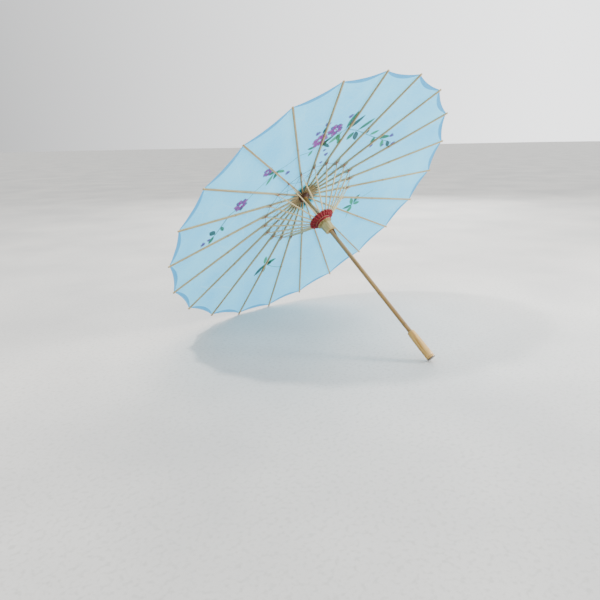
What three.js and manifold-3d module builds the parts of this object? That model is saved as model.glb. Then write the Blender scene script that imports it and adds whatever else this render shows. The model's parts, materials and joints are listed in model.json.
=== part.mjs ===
// Bamboo parasol with a cloth canopy, open and lying on the floor: it rests on two rib tips and
// on the end of its handle. Millimetres, +Z up, the floor is z = 0, and the handle points to -Y.
//
// The umbrella is drawn upright in its own frame: its axis is local Z, the crown is up, and
// z = 0 is the plane of the rib pivots. The last section leans it over and sets it on the floor.

import * as THREE from 'three';
import { mergeVertices } from 'three/addons/utils/BufferGeometryUtils.js';
import Module from 'manifold-3d';

const wasm = await Module();
wasm.setup();

// ---------------------------------------------------------------- driving dimensions
const RIB_COUNT = 22;
const RIM_RADIUS = 410; // axis to rib tip, open
const RIB_SLOPE = THREE.MathUtils.degToRad(8.6); // fall of an open rib
const HUB_PIVOT_RADIUS = 12;
const RUNNER_PIVOT_RADIUS = 15;
const RUNNER_PIVOT_Z = -92;
const JOINT_ALONG_RIB = 120; // hub pivot to the stretcher joint
const JOINT_BELOW_RIB = 4; // the stretcher pin hangs this far under the rib's centre line
const HANDLE_END_Z = -525;
const GAP = 0.3; // between pieces that touch

const RIB = { width: 3, hubWidth: 1.5, tipWidth: 3.8, half: 2.2, hubHalf: 1.7, tipHalf: 1.4, wideFrom: 45 };
const TIP_CUT = { run: 0.85, rise: 1.36 }; // the slant under a rib's tip, as it is worn by the ground
const STRETCHER = { width: 2, endWidth: 1.1, half: 1.4, thinLength: 18 };
const THREAD_HOLE = 0.75;
const WIRE = 0.4; // radius of the tie wires
const THREAD = 0.35; // radius of the joint thread
const SHAFT_RADIUS = 5.2;
const HUB = { radius: 15, low: -8, high: 5, slotRoot: 9.9, slotTop: 2.1 };
const RUNNER = { bore: 6.2, flange: 19.5, top: 3.5, under: -6, neckTop: 15.2, neckLow: 13.4, low: -32 };
const RUNNER_SLOT = { root: 12.9, low: -11.5 }; // deep enough for a stretcher's end to swing out
const CANOPY = { inner: 16, edge: 407, thickness: 0.5, scallop: 4 };
const CAP = { inner: 6, seat: 15.6, foot: 18.5, edge: 34, thickness: 0.5 };
const HANDLE = { length: 78, radius: 10, neck: 8.6, bore: 5.55, wallEnd: 12 };
const HANDLE_SIDES = 24; // one of them faces the ground
const FINIAL = { base: 6.4, collar: 8.5, height: 32, bore: 5.6, boreTop: 22 };
const CATCH = { turn: THREE.MathUtils.degToRad(-64), width: 2.4, length: 27, proud: 9 };
const LACING = { inner: 21, outer: 33, half: 2.6 };

// ---------------------------------------------------------------- worked-out dimensions
const PITCH = (2 * Math.PI) / RIB_COUNT;
const FIRST_RIB = Math.PI / 2 + PITCH / 2; // two ribs straddle the lowest point of the rim
const RIB_LENGTH = (RIM_RADIUS - HUB_PIVOT_RADIUS) / Math.cos(RIB_SLOPE);
const CREST = RIB.half / Math.cos(RIB_SLOPE);
const FLAT = Math.cos(PITCH / 2); // middle of a flat gore against its edges
const jointRadius = HUB_PIVOT_RADIUS + JOINT_ALONG_RIB * Math.cos(RIB_SLOPE)
  - JOINT_BELOW_RIB * Math.sin(RIB_SLOPE);
const jointZ = -JOINT_ALONG_RIB * Math.sin(RIB_SLOPE) - JOINT_BELOW_RIB * Math.cos(RIB_SLOPE);
const strutRun = jointRadius - RUNNER_PIVOT_RADIUS;
const strutFall = jointZ - RUNNER_PIVOT_Z;
const STRETCHER_LENGTH = Math.hypot(strutRun, strutFall);
const STRETCHER_SLOPE = Math.atan2(strutFall, strutRun);
const neckLowZ = RUNNER_PIVOT_Z + RUNNER.low;

// height of the ribs' top edges at a radius
const ribCrest = (radius) => CREST - (radius - HUB_PIVOT_RADIUS) * Math.tan(RIB_SLOPE);

// ---------------------------------------------------------------- materials
const matte = (color, roughness = 0.75) => new THREE.MeshStandardMaterial({ color, roughness, metalness: 0 });
const silk = matte(0xa9d6e8, 0.6);
const teal = matte(0x2f9fae, 0.7);
const bamboo = matte(0xc9b58a, 0.6);
const paleBamboo = matte(0xddd2ae, 0.6);
const poleBamboo = matte(0xa98a55, 0.5);
const turnedWood = matte(0xd9b875, 0.45);
const creamWood = matte(0xd8cda0, 0.55);
const darkWood = matte(0x4a3020, 0.5);
const blackLacquer = matte(0x1d1b1a, 0.3);
const redThread = matte(0xb03045, 0.85);
const brownThread = matte(0x6a4436, 0.85);
const brassWire = new THREE.MeshStandardMaterial({ color: 0x9a7a3c, roughness: 0.4, metalness: 1 });

// ---------------------------------------------------------------- solids
// A closed geometry as a manifold solid: seams merged, and collapsed triangles at poles dropped.
function solid(geometry) {
  const bare = geometry.clone();
  for (const name of ['normal', 'uv']) bare.deleteAttribute(name);
  const merged = mergeVertices(bare, 1e-4);
  const corners = merged.index.array;
  const kept = [];
  for (let i = 0; i < corners.length; i += 3) {
    const [a, b, c] = [corners[i], corners[i + 1], corners[i + 2]];
    if (a !== b && b !== c && c !== a) kept.push(a, b, c);
  }
  const body = new wasm.Manifold(new wasm.Mesh({
    numProp: 3,
    vertProperties: merged.attributes.position.array,
    triVerts: new Uint32Array(kept),
  }));
  return body;
}

function geometryOf(body) {
  const { vertProperties, triVerts } = body.getMesh();
  const geometry = new THREE.BufferGeometry();
  geometry.setAttribute('position', new THREE.BufferAttribute(new Float32Array(vertProperties), 3));
  geometry.setIndex(new THREE.BufferAttribute(new Uint32Array(triVerts), 1));
  geometry.computeVertexNormals();
  return geometry;
}

// A profile of [radius, z] pairs, counter-clockwise, turned about Z.
function turnedGeometry(profile, sides, start = 0) {
  const points = profile.map(([radius, z]) => new THREE.Vector2(radius, z));
  const onAxis = points[0].x === 0 && points[points.length - 1].x === 0;
  if (!onAxis) points.push(points[0].clone());
  // LatheGeometry turns about Y from +Z, so a quarter turn brings Y up and its start to +X
  const geometry = new THREE.LatheGeometry(points, sides, start + Math.PI / 2);
  return geometry.rotateX(Math.PI / 2);
}

const turned = (profile, sides, start = 0) => solid(turnedGeometry(profile, sides, start));

// A ring of round wire about Z; its straight lengths are centred on the ribs.
function ring(radius, wire, segments, wireSides = 5) {
  const corner = radius / Math.cos(Math.PI / segments);
  const geometry = new THREE.TorusGeometry(corner, wire, wireSides, segments);
  return solid(geometry.rotateZ(FIRST_RIB + Math.PI / segments));
}

// An outline in x and z, as deep as width along y.
function sideBoard(shape, width, curveSegments = 2) {
  const geometry = new THREE.ExtrudeGeometry(shape, { depth: width, bevelEnabled: false, curveSegments });
  return solid(geometry.rotateX(Math.PI / 2).translate(0, width / 2, 0));
}

// An outline in x and y, as deep as height along z.
function topBoard(shape, height) {
  const geometry = new THREE.ExtrudeGeometry(shape, { depth: height, bevelEnabled: false });
  return solid(geometry.translate(0, 0, -height / 2));
}

function box(x, y, z, centre) {
  return solid(new THREE.BoxGeometry(x, y, z).translate(...centre));
}

// A round cutter along y.
function crossHole(radius, x, z) {
  return solid(new THREE.CylinderGeometry(radius, radius, 20, 6).translate(x, 0, z));
}

// One radial cutter, repeated at every rib.
function atEveryRib(cutter) {
  const copies = [];
  for (let i = 0; i < RIB_COUNT; i += 1) {
    const degrees = THREE.MathUtils.radToDeg(FIRST_RIB + i * PITCH);
    copies.push(cutter.rotate([0, 0, degrees]));
  }
  return wasm.Manifold.union(copies);
}

// A symmetric outline in x and y through [x, half width] pairs.
function taper(stations) {
  const shape = new THREE.Shape();
  const [first, ...rest] = stations;
  shape.moveTo(first[0], -first[1]);
  for (const [x, half] of rest) shape.lineTo(x, -half);
  for (const [x, half] of [...stations].reverse()) shape.lineTo(x, half);
  return shape;
}

// ---------------------------------------------------------------- ribs and stretchers
// x runs out along the rib from its hub pivot, y is the hinge axis, z is up.
function ribSolid() {
  const { half, hubHalf, tipHalf, width, hubWidth, tipWidth, wideFrom } = RIB;
  const forkDepth = JOINT_BELOW_RIB + 1.4;
  const side = new THREE.Shape();
  side.absarc(0, 0, hubHalf, Math.PI / 2, (3 * Math.PI) / 2);
  side.lineTo(9, -hubHalf);
  side.lineTo(20, -half);
  side.lineTo(JOINT_ALONG_RIB - 13, -half);
  side.quadraticCurveTo(JOINT_ALONG_RIB - 7, -forkDepth, JOINT_ALONG_RIB, -forkDepth);
  side.quadraticCurveTo(JOINT_ALONG_RIB + 7, -forkDepth, JOINT_ALONG_RIB + 13, -half);
  side.lineTo(RIB_LENGTH - TIP_CUT.run, half - 2 * tipHalf);
  side.lineTo(RIB_LENGTH, half - 2 * tipHalf + TIP_CUT.rise);
  side.lineTo(RIB_LENGTH, half);
  side.lineTo(20, half);
  side.lineTo(9, hubHalf);
  const top = taper([
    [-hubHalf - 1, hubWidth / 2], [9, hubWidth / 2], [wideFrom, width / 2],
    [JOINT_ALONG_RIB + 20, width / 2], [RIB_LENGTH, tipWidth / 2],
  ]);
  const slotHeight = 6;
  const slot = box(40, STRETCHER.endWidth + 2 * GAP, slotHeight, [JOINT_ALONG_RIB, 0, -2 - slotHeight / 2]);
  return sideBoard(side, tipWidth + 2)
    .intersect(topBoard(top, 20))
    .subtract(slot)
    .subtract(crossHole(THREAD_HOLE, 0, 0))
    .subtract(crossHole(THREAD_HOLE, JOINT_ALONG_RIB, -JOINT_BELOW_RIB));
}

// x runs from the rib joint to the runner pivot.
function stretcherSolid() {
  const { half, width, endWidth, thinLength } = STRETCHER;
  const side = new THREE.Shape();
  side.absarc(0, 0, half, Math.PI / 2, (3 * Math.PI) / 2);
  side.absarc(STRETCHER_LENGTH, 0, half, -Math.PI / 2, Math.PI / 2);
  const top = taper([
    [-half - 1, endWidth / 2], [thinLength, endWidth / 2], [thinLength + 3, width / 2],
    [STRETCHER_LENGTH + half + 1, width / 2],
  ]);
  return sideBoard(side, width + 2)
    .intersect(topBoard(top, 20))
    .subtract(crossHole(THREAD_HOLE, 0, 0))
    .subtract(crossHole(THREAD_HOLE, STRETCHER_LENGTH, 0));
}

// ---------------------------------------------------------------- hub, runner and ties
// The turned head with a slot for each rib and a groove for the tie wire.
function topNotchSolid() {
  const { radius, low, high, slotRoot, slotTop } = HUB;
  const bore = SHAFT_RADIUS + GAP;
  const blank = turned([
    [bore, low], [radius - 1.5, low], [radius, low + 1.5], [radius, high], [bore, high],
  ], RIB_COUNT, FIRST_RIB + PITCH / 2);
  const slotWidth = RIB.hubWidth + 2 * GAP;
  const slot = box(20, slotWidth, 30, [slotRoot + 10, 0, slotTop - 15]);
  const groove = turned([
    [HUB_PIVOT_RADIUS - 0.9, -0.8], [20, -0.8], [20, 0.8], [HUB_PIVOT_RADIUS - 0.9, 0.8],
  ], 2 * RIB_COUNT);
  return blank.subtract(atEveryRib(slot)).subtract(groove);
}

// The sliding head: a slotted flange over a tapering neck. z = 0 is the stretcher pivots' plane.
function runnerSolid() {
  const { bore, flange, top, under, neckTop, neckLow, low } = RUNNER;
  const blank = turned([
    [bore, low], [neckLow - 1, low], [neckLow, low + 1.2], [neckTop, under - 1], [flange - 1, under],
    [flange, under + 1], [flange, top - 0.8], [flange - 0.8, top], [bore, top],
  ], RIB_COUNT, FIRST_RIB + PITCH / 2);
  const slotWidth = STRETCHER.width + 2 * GAP;
  const slot = box(20, slotWidth, 20, [RUNNER_SLOT.root + 10, 0, RUNNER_SLOT.low + 10]);
  const groove = turned([
    [RUNNER_PIVOT_RADIUS - 0.9, -0.8], [25, -0.8], [25, 0.8], [RUNNER_PIVOT_RADIUS - 0.9, 0.8],
  ], 2 * RIB_COUNT);
  return blank.subtract(atEveryRib(slot)).subtract(groove);
}

// Thread woven round the lower ends of the stretchers, as one conical band they pass through.
function redLacingSolid() {
  const { inner, outer, half } = LACING;
  const rise = (radius) => (radius - RUNNER_PIVOT_RADIUS) * Math.tan(STRETCHER_SLOPE);
  const middle = (inner + outer) / 2;
  const band = turned([
    [inner, rise(inner) - half], [middle, rise(middle) - half - 0.6], [outer, rise(outer) - half],
    [outer, rise(outer) + half], [middle, rise(middle) + half + 0.6], [inner, rise(inner) + half],
  ], RIB_COUNT, FIRST_RIB + PITCH / 2);
  const reach = 60;
  const tunnel = box(reach, STRETCHER.width + 2 * GAP, 2 * (STRETCHER.half + GAP), [reach / 2, 0, 0])
    .rotate([0, -THREE.MathUtils.radToDeg(STRETCHER_SLOPE), 0])
    .translate([RUNNER_PIVOT_RADIUS, 0, 0]);
  return band.subtract(atEveryRib(tunnel));
}

// ---------------------------------------------------------------- shaft, handle, finial and catch
function shaftSolid() {
  const r = SHAFT_RADIUS;
  const top = FINIAL.boreTop - 1;
  const low = HANDLE_END_Z + HANDLE.wallEnd + 1;
  const nodes = [-60, -205, -330, -425]; // bamboo nodes, each a low ring
  const wall = [];
  for (const z of [...nodes].reverse()) wall.push([r, z - 3], [r + 0.35, z - 1], [r + 0.35, z + 1], [r, z + 3]);
  const pole = turned([[0, low], [r, low], ...wall, [r, top], [0, top]], 16);
  const slotTop = neckLowZ + 1.6;
  const slotLow = neckLowZ - CATCH.length - 3;
  const slot = box(12, CATCH.width + 2 * GAP, slotTop - slotLow, [6.8, 0, (slotTop + slotLow) / 2])
    .rotate([0, 0, THREE.MathUtils.radToDeg(CATCH.turn)]);
  return pole.subtract(slot);
}

function handleSolid() {
  const { length, radius, neck, bore, wallEnd } = HANDLE;
  return turned([
    [0, 0], [radius - 1, 0], [radius, 1], [radius, 5], [radius - 0.5, 6], [radius - 0.5, 7],
    [radius, 8], [radius - 0.2, length * 0.55], [radius - 0.9, length - 3], [neck, length],
    [bore, length], [bore, wallEnd], [0, wallEnd],
  ], HANDLE_SIDES, Math.PI / HANDLE_SIDES);
}

function finialSolid() {
  const { base, collar, height, bore, boreTop } = FINIAL;
  return turned([
    [bore, base], [collar, base], [collar, base + 2.4], [collar - 1.4, base + 3.6],
    [collar - 1.2, base + 12], [collar - 2.4, base + 19], [collar - 3.6, base + height - 4],
    [collar - 5.2, base + height], [0, base + height], [0, boreTop], [bore, boreTop],
  ], 20);
}

// A leaf set in the shaft's slot; x is out from the axis and z = 0 is its foot.
function catchSolid() {
  const { width, length, proud } = CATCH;
  const leaf = new THREE.Shape();
  leaf.absarc(0, 0, 0.8, Math.PI, 2 * Math.PI);
  leaf.lineTo(proud - 3.4, length - 2);
  leaf.lineTo(proud - 3.4, length);
  leaf.lineTo(1.2, length);
  return sideBoard(leaf, width);
}

// ---------------------------------------------------------------- canopy and crown cap
// Flat gores between the ribs, with each gore's edge curving in between its two rib tips.
function canopySolid() {
  const { inner, edge, thickness, scallop } = CANOPY;
  const steps = 4; // per gore
  const under = (radius) => ribCrest(radius) + 0.35;
  const profile = [
    [inner, under(inner)], [edge, under(edge)],
    [edge, under(edge) + thickness], [inner, under(inner) + thickness],
  ];
  const geometry = turnedGeometry(profile, RIB_COUNT * steps, FIRST_RIB);
  const position = geometry.attributes.position;
  const point = new THREE.Vector3();
  for (let i = 0; i < position.count; i += 1) {
    point.fromBufferAttribute(position, i);
    const radius = Math.hypot(point.x, point.y);
    const turn = Math.atan2(point.y, point.x) - FIRST_RIB;
    const inGore = ((turn / PITCH) % 1 + 1) % 1; // 0 and 1 at the ribs
    const across = 1 - (2 * inGore - 1) ** 2;
    const pulled = radius > edge - 1 ? radius - scallop * across : radius;
    const flat = FLAT / Math.cos((inGore - 0.5) * PITCH);
    point.z += (radius - pulled) * Math.tan(RIB_SLOPE);
    point.x *= (pulled / radius) * flat;
    point.y *= (pulled / radius) * flat;
    position.setXYZ(i, point.x, point.y, point.z);
  }
  return solid(geometry);
}

// A cloth cap over the head; the finial holds its middle down.
function crownCapSolid() {
  const { inner, seat, foot, edge, thickness } = CAP;
  const onHub = HUB.high + 0.35;
  const onCanopy = (radius) => ribCrest(radius) + CANOPY.thickness + 0.7;
  return turned([
    [inner, onHub], [seat, onHub], [foot, onCanopy(foot)], [edge, onCanopy(edge)],
    [edge, onCanopy(edge) + thickness], [foot + 0.3, onCanopy(foot) + thickness],
    [seat + 0.3, onHub + thickness], [inner, onHub + thickness],
  ], RIB_COUNT, FIRST_RIB);
}

// ---------------------------------------------------------------- assembly
const umbrella = new THREE.Group();

function place(name, body, material, { parent = umbrella, x = 0, z = 0, pitch = 0 } = {}) {
  const mesh = new THREE.Mesh(body.isBufferGeometry ? body : geometryOf(body), material);
  mesh.name = name;
  mesh.position.set(x, 0, z);
  mesh.rotation.y = pitch;
  parent.add(mesh);
  return mesh;
}

place('shaft', shaftSolid(), poleBamboo);
place('handle', handleSolid(), turnedWood, { z: HANDLE_END_Z });
place('top_notch', topNotchSolid(), darkWood);
place('top_tie_wire', ring(HUB_PIVOT_RADIUS, WIRE, 2 * RIB_COUNT), brassWire);
place('runner', runnerSolid(), creamWood, { z: RUNNER_PIVOT_Z });
place('runner_tie_wire', ring(RUNNER_PIVOT_RADIUS, WIRE, 2 * RIB_COUNT), brassWire, { z: RUNNER_PIVOT_Z });
place('red_lacing', redLacingSolid(), redThread, { z: RUNNER_PIVOT_Z });
place('joint_thread', ring(jointRadius, THREAD, 3 * RIB_COUNT, 4), brownThread, { z: jointZ });
place('canopy', canopySolid(), silk);
place('crown_cap', crownCapSolid(), teal);
place('finial', finialSolid(), blackLacquer);

const catchSector = new THREE.Group();
catchSector.rotation.z = CATCH.turn;
umbrella.add(catchSector);
place('catch', catchSolid(), darkWood, {
  parent: catchSector, x: 3.4, z: neckLowZ - CATCH.length - GAP - 0.2,
});

const ribGeometry = geometryOf(ribSolid());
const stretcherGeometry = geometryOf(stretcherSolid());
for (let i = 0; i < RIB_COUNT; i += 1) {
  const sector = new THREE.Group();
  sector.rotation.z = FIRST_RIB + i * PITCH;
  umbrella.add(sector);
  const number = String(i + 1).padStart(2, '0');
  place(`rib_${number}`, ribGeometry, bamboo, { parent: sector, x: HUB_PIVOT_RADIUS, pitch: RIB_SLOPE });
  place(`stretcher_${number}`, stretcherGeometry, paleBamboo, {
    parent: sector, x: jointRadius, z: jointZ, pitch: Math.PI - STRETCHER_SLOPE,
  });
}

// The lean that puts the slants under the lowest rib tips and the handle's end on one level.
const footAlong = RIB_LENGTH - TIP_CUT.run;
const footHeight = RIB.half - 2 * RIB.tipHalf;
const footZ = -footAlong * Math.sin(RIB_SLOPE) + footHeight * Math.cos(RIB_SLOPE);
const footRadius = HUB_PIVOT_RADIUS + footAlong * Math.cos(RIB_SLOPE) + footHeight * Math.sin(RIB_SLOPE);
const lean = Math.atan2(footZ - HANDLE_END_Z, footRadius * Math.cos(PITCH / 2) - HANDLE.radius);
umbrella.rotation.x = -lean;

const part = new THREE.Group();
part.add(umbrella);
const bounds = new THREE.Box3().setFromObject(part, true);
umbrella.position.set(0, -(bounds.min.y + bounds.max.y) / 2, -bounds.min.z);
part.updateMatrixWorld(true);

export default part;
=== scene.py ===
"""A bamboo parasol with a painted cloth canopy, open and lying on its rim and its handle.

The parasol is drawn upright in its own millimetres: x runs out from its axis, z runs up to the crown and
z = 0 is the level of the rib pivots. The matrices in SECTORS, one for each rib, take that to the frame's
metres.
"""

import json
import math
import random

import bmesh
import bpy
from mathutils import Matrix, Vector, noise


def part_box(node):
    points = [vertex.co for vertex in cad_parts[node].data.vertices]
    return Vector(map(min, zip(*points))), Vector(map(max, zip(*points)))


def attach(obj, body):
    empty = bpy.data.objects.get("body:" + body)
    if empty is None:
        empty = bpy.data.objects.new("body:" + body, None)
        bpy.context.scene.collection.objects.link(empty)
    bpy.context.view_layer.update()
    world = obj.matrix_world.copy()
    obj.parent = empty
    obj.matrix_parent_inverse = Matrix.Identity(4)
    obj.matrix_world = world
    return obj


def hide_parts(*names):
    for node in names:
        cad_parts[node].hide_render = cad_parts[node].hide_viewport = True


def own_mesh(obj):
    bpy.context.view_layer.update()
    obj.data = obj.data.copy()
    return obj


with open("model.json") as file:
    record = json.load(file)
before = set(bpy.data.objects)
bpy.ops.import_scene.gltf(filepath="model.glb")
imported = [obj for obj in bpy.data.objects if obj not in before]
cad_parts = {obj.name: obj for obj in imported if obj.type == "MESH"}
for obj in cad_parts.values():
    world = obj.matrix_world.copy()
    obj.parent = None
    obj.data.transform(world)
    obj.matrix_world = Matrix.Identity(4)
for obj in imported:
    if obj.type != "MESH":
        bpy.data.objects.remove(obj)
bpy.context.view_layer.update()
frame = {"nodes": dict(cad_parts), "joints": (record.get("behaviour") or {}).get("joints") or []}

# ------------------------------------------------------------------ sizes, in millimetres
MM = 0.001
RIB_COUNT = 22
PITCH = 2 * math.pi / RIB_COUNT
RIB_SLOPE = math.radians(8.6)
HUB_PIVOT_RADIUS = 12
RIB_LENGTH = 402.5
RIB_HALF, RIB_TIP_HALF, RIB_HUB_HALF = 2.2, 1.4, 1.7  # half thicknesses
RIB_NODE = 236  # the ribs are split from one cane, so its node is at the same place in each
JOINT_ALONG_RIB, JOINT_BELOW_RIB = 120, 4
STRETCHER_LENGTH = 134.7
STRETCHER_SLOPE = math.radians(31.35)
RUNNER_PIVOT_RADIUS = 15
RUNNER_Z = -92
NECK_LOW_Z = RUNNER_Z - 32
HANDLE_END_Z = -525
HANDLE_LENGTH = 78
HANDLE_BORE_Z = HANDLE_END_Z + 12
HANDLE_GROOVE = 6.5  # above the handle's end
SHAFT_RADIUS = 5.2
CANE_NODES = (-60, -205, -330, -425)
CLOTH_INNER, CLOTH_EDGE, CLOTH_LIFT = 16, 407, 0.55
SCALLOP = 5.5  # how far the rim curves in between two ribs
HEM = (3, 8)  # turned-over width at a rib, and what it gains in the middle of a gore
CAP_SEAT, CAP_EDGE = 15.6, 42
WEB_RADIUS = 86  # where the inner thread crosses the ribs
LACING_START, LACING_ROWS, LACING_STEP = 6.2, 12, 1.3  # rows of thread along a stretcher

# ------------------------------------------------------------------ the parasol's place in the frame
NUMBERS = [f"{n:02d}" for n in range(1, RIB_COUNT + 1)]
JOINTS = {joint["name"]: joint for joint in frame["joints"]}
PIVOTS = [Vector(JOINTS[f"rib_hinge_{n}"]["pos_m"]) for n in NUMBERS]
CROWN = sum(PIVOTS, Vector()) / RIB_COUNT
UP = -Vector(JOINTS["runner_slide"]["axis"]).normalized()


def upright(towards):
    """The matrix from the parasol's millimetres, with x turned towards a point, to the frame's metres."""
    out = towards - CROWN
    radial = (out - out.dot(UP) * UP).normalized()
    turn = Matrix((radial, UP.cross(radial), UP)).transposed().to_4x4()
    return Matrix.Translation(CROWN) @ turn @ Matrix.Scale(MM, 4)


SECTORS = [upright(pivot) for pivot in PIVOTS]
AXIS = SECTORS[0]
ON_RIB = Matrix.Translation((HUB_PIVOT_RADIUS, 0, 0)) @ Matrix.Rotation(RIB_SLOPE, 4, "Y")
JOINT = ON_RIB @ Vector((JOINT_ALONG_RIB, 0, -JOINT_BELOW_RIB))
ON_RUNNER = Matrix.Translation((RUNNER_PIVOT_RADIUS, 0, RUNNER_Z))
ON_STRETCHER = ON_RUNNER @ Matrix.Rotation(-STRETCHER_SLOPE, 4, "Y")


# ------------------------------------------------------------------ camera, floor and light
def viewing_camera():
    """Stands low before the parasol's open side, a little to the left."""
    yaw, pitch, roll = (math.radians(angle) for angle in (44.28, 15.34, -1.1))
    from_crown = Vector((-1.057, -1.064, 0.135))
    ahead = Vector((math.sin(yaw) * math.cos(pitch), math.cos(yaw) * math.cos(pitch), -math.sin(pitch)))
    level = Vector((math.cos(yaw), -math.sin(yaw), 0))
    above = level.cross(ahead)
    right = math.cos(roll) * level + math.sin(roll) * above
    top = math.cos(roll) * above - math.sin(roll) * level
    camera = bpy.data.objects.new("camera", bpy.data.cameras.new("camera"))
    camera.data.lens = 34.62
    camera.data.sensor_width = 36
    camera.data.clip_end = 60
    turn = Matrix((right, top, -ahead)).transposed().to_4x4()
    camera.matrix_world = Matrix.Translation(CROWN + from_crown) @ turn
    bpy.context.collection.objects.link(camera)
    bpy.context.scene.camera = camera


def light(name, kind, place, power, **settings):
    """A lamp at a place, turned towards the parasol."""
    lamp = bpy.data.lights.new(name, kind)
    lamp.energy = power
    for key, value in settings.items():
        setattr(lamp, key, value)
    made = bpy.data.objects.new(name, lamp)
    made.location = place
    made.rotation_euler = (Vector((0, 0, 0.2)) - Vector(place)).to_track_quat("-Z", "Y").to_euler()
    bpy.context.collection.objects.link(made)


# ------------------------------------------------------------------ nodes and colours
def srgb(code):
    """A hex colour as linear values."""
    parts = [int(code[i : i + 2], 16) / 255 for i in (1, 3, 5)]
    return (*[p / 12.92 if p <= 0.04045 else ((p + 0.055) / 1.055) ** 2.4 for p in parts], 1.0)


def node(tree, kind, inputs=None, **settings):
    """Adds a node; inputs holds, for each socket, a value or what feeds it."""
    made = tree.nodes.new(kind)
    for key, value in settings.items():
        setattr(made, key, value)
    for key, value in (inputs or {}).items():
        if isinstance(value, bpy.types.Node):
            value = next(out for out in value.outputs if out.enabled)
        if isinstance(value, bpy.types.NodeSocket):
            tree.links.new(value, made.inputs[key])
        else:
            made.inputs[key].default_value = value
    return made


def blank_material(name):
    """A material without nodes."""
    made = bpy.data.materials.new(name)
    made.use_nodes = True
    made.node_tree.nodes.clear()
    return made


def streaks(tree, length, width, along="X", detail=3.0):
    """Long patches of tone, length by width millimetres, that run along the piece's own axis."""
    place = node(tree, "ShaderNodeAttribute", attribute_name="grain")
    scale = [1 / length if axis == along else 1 / width for axis in "XYZ"]
    mapped = node(tree, "ShaderNodeMapping", {"Vector": place.outputs["Vector"], "Scale": scale})
    noise_inputs = {"Vector": mapped, "Scale": 1.0, "Detail": detail, "Roughness": 0.6}
    return node(tree, "ShaderNodeTexNoise", noise_inputs)


def tone(tree, factor, first, second):
    """A colour between two others."""
    return node(tree, "ShaderNodeMix", {0: factor, 6: first, 7: second}, data_type="RGBA")


def spread(tree, value, low, high, to_low=0.0, to_high=1.0):
    """value from low to high, stretched to to_low and to_high."""
    ends = {"Value": value, "From Min": low, "From Max": high, "To Min": to_low, "To Max": to_high}
    return node(tree, "ShaderNodeMapRange", ends)


def coat(made, colour, roughness, height, depth, **constants):
    """Ends a material: a Principled surface with its colour, roughness and a relief of depth millimetres."""
    tree = made.node_tree
    bump = node(tree, "ShaderNodeBump", {"Height": height, "Distance": depth * MM, "Strength": 1.0})
    sockets = {"Base Color": colour, "Roughness": roughness, "Normal": bump}
    sockets.update({key.replace("_", " "): value for key, value in constants.items()})
    surface = node(tree, "ShaderNodeBsdfPrincipled", sockets)
    node(tree, "ShaderNodeOutputMaterial", {"Surface": surface})
    return made


def laid(tree):
    """Where a point lies in its piece's own millimetres."""
    place = node(tree, "ShaderNodeAttribute", attribute_name="laid")
    return node(tree, "ShaderNodeSeparateXYZ", {"Vector": place.outputs["Vector"]})


# ------------------------------------------------------------------ materials
def sheer_dyed_cloth():
    """Plain-woven dyed silk: light glows through it, and slubs in the threads streak it both ways."""
    made = blank_material("sheer_plain_woven_silk_dyed_light_blue")
    tree = made.node_tree
    warp = streaks(tree, 45, 0.9)  # threads of 0.15 mm are too fine to show, so slubs are drawn 0.9 mm wide
    weft = streaks(tree, 45, 0.9, along="Y")
    weave = node(tree, "ShaderNodeMath", {0: warp, 1: weft}, operation="ADD")
    clouds = streaks(tree, 130, 90, detail=1.0)
    dye_and_painted_light = tone(tree, spread(tree, clouds, 0.3, 0.7), srgb("#3FB6EA"), srgb("#62C8F0"))
    dye_and_painted_light = tone(tree, spread(tree, weave, 0.7, 1.3, 0.0, 0.5), dye_and_painted_light, srgb("#8FDBF5"))
    # Painted highlight: pale lines along a net of creases stand in for the light that folds in the cloth catch.
    place = node(tree, "ShaderNodeAttribute", attribute_name="grain")
    folds = {"Vector": place.outputs["Vector"], "Scale": 1 / 130}
    painted_crease_highlight = node(tree, "ShaderNodeTexVoronoi", folds, feature="DISTANCE_TO_EDGE")
    dye_and_painted_light = tone(tree, spread(tree, painted_crease_highlight.outputs["Distance"], 0.0, 0.006, 0.18, 0.0), dye_and_painted_light, srgb("#C4EEF9"))
    at = laid(tree)
    # Painted shade: a dark teal patch round the crown, where the cap on top shades the cloth and shows through it.
    cap_shade_through_cloth = spread(tree, at.outputs["X"], CAP_EDGE + 4, CAP_EDGE + 12, 0.85, 0.0)
    dye_and_painted_light = tone(tree, cap_shade_through_cloth, dye_and_painted_light, srgb("#259DB4"))
    hem = node(tree, "ShaderNodeAttribute", attribute_name="hem")
    hem = node(tree, "ShaderNodeSeparateXYZ", {"Vector": hem.outputs["Vector"]})
    dye_and_painted_light = tone(tree, spread(tree, hem.outputs["X"], 0.0, 0.5, 0.0, 0.75), dye_and_painted_light, srgb("#147DB5"))
    # Painted light: a pale line along the rib, standing in for the rib showing through the sheer cloth.
    off_rib = node(tree, "ShaderNodeMath", {0: at.outputs["Y"]}, operation="ABSOLUTE")
    dye_and_painted_light = tone(tree, spread(tree, off_rib, 1.3, 1.9, 0.7, 0.0), dye_and_painted_light, srgb("#CFE6C6"))
    paint = node(tree, "ShaderNodeAttribute", attribute_name="paint")
    dye_and_painted_light = tone(tree, paint.outputs["Alpha"], dye_and_painted_light, paint.outputs["Color"])
    relief = node(tree, "ShaderNodeBump", {"Height": weave, "Distance": 0.05 * MM, "Strength": 0.6})
    sheen = {"Sheen Weight": 0.2, "Sheen Roughness": 0.4}
    facing = {"Base Color": dye_and_painted_light, "Roughness": 0.62, "Normal": relief, **sheen}
    front = node(tree, "ShaderNodeBsdfPrincipled", facing)
    through = node(tree, "ShaderNodeBsdfTranslucent", {"Color": dye_and_painted_light, "Normal": relief})
    both = node(tree, "ShaderNodeMixShader", {0: 0.6, 1: front, 2: through})
    node(tree, "ShaderNodeOutputMaterial", {"Surface": both})
    return made


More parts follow.
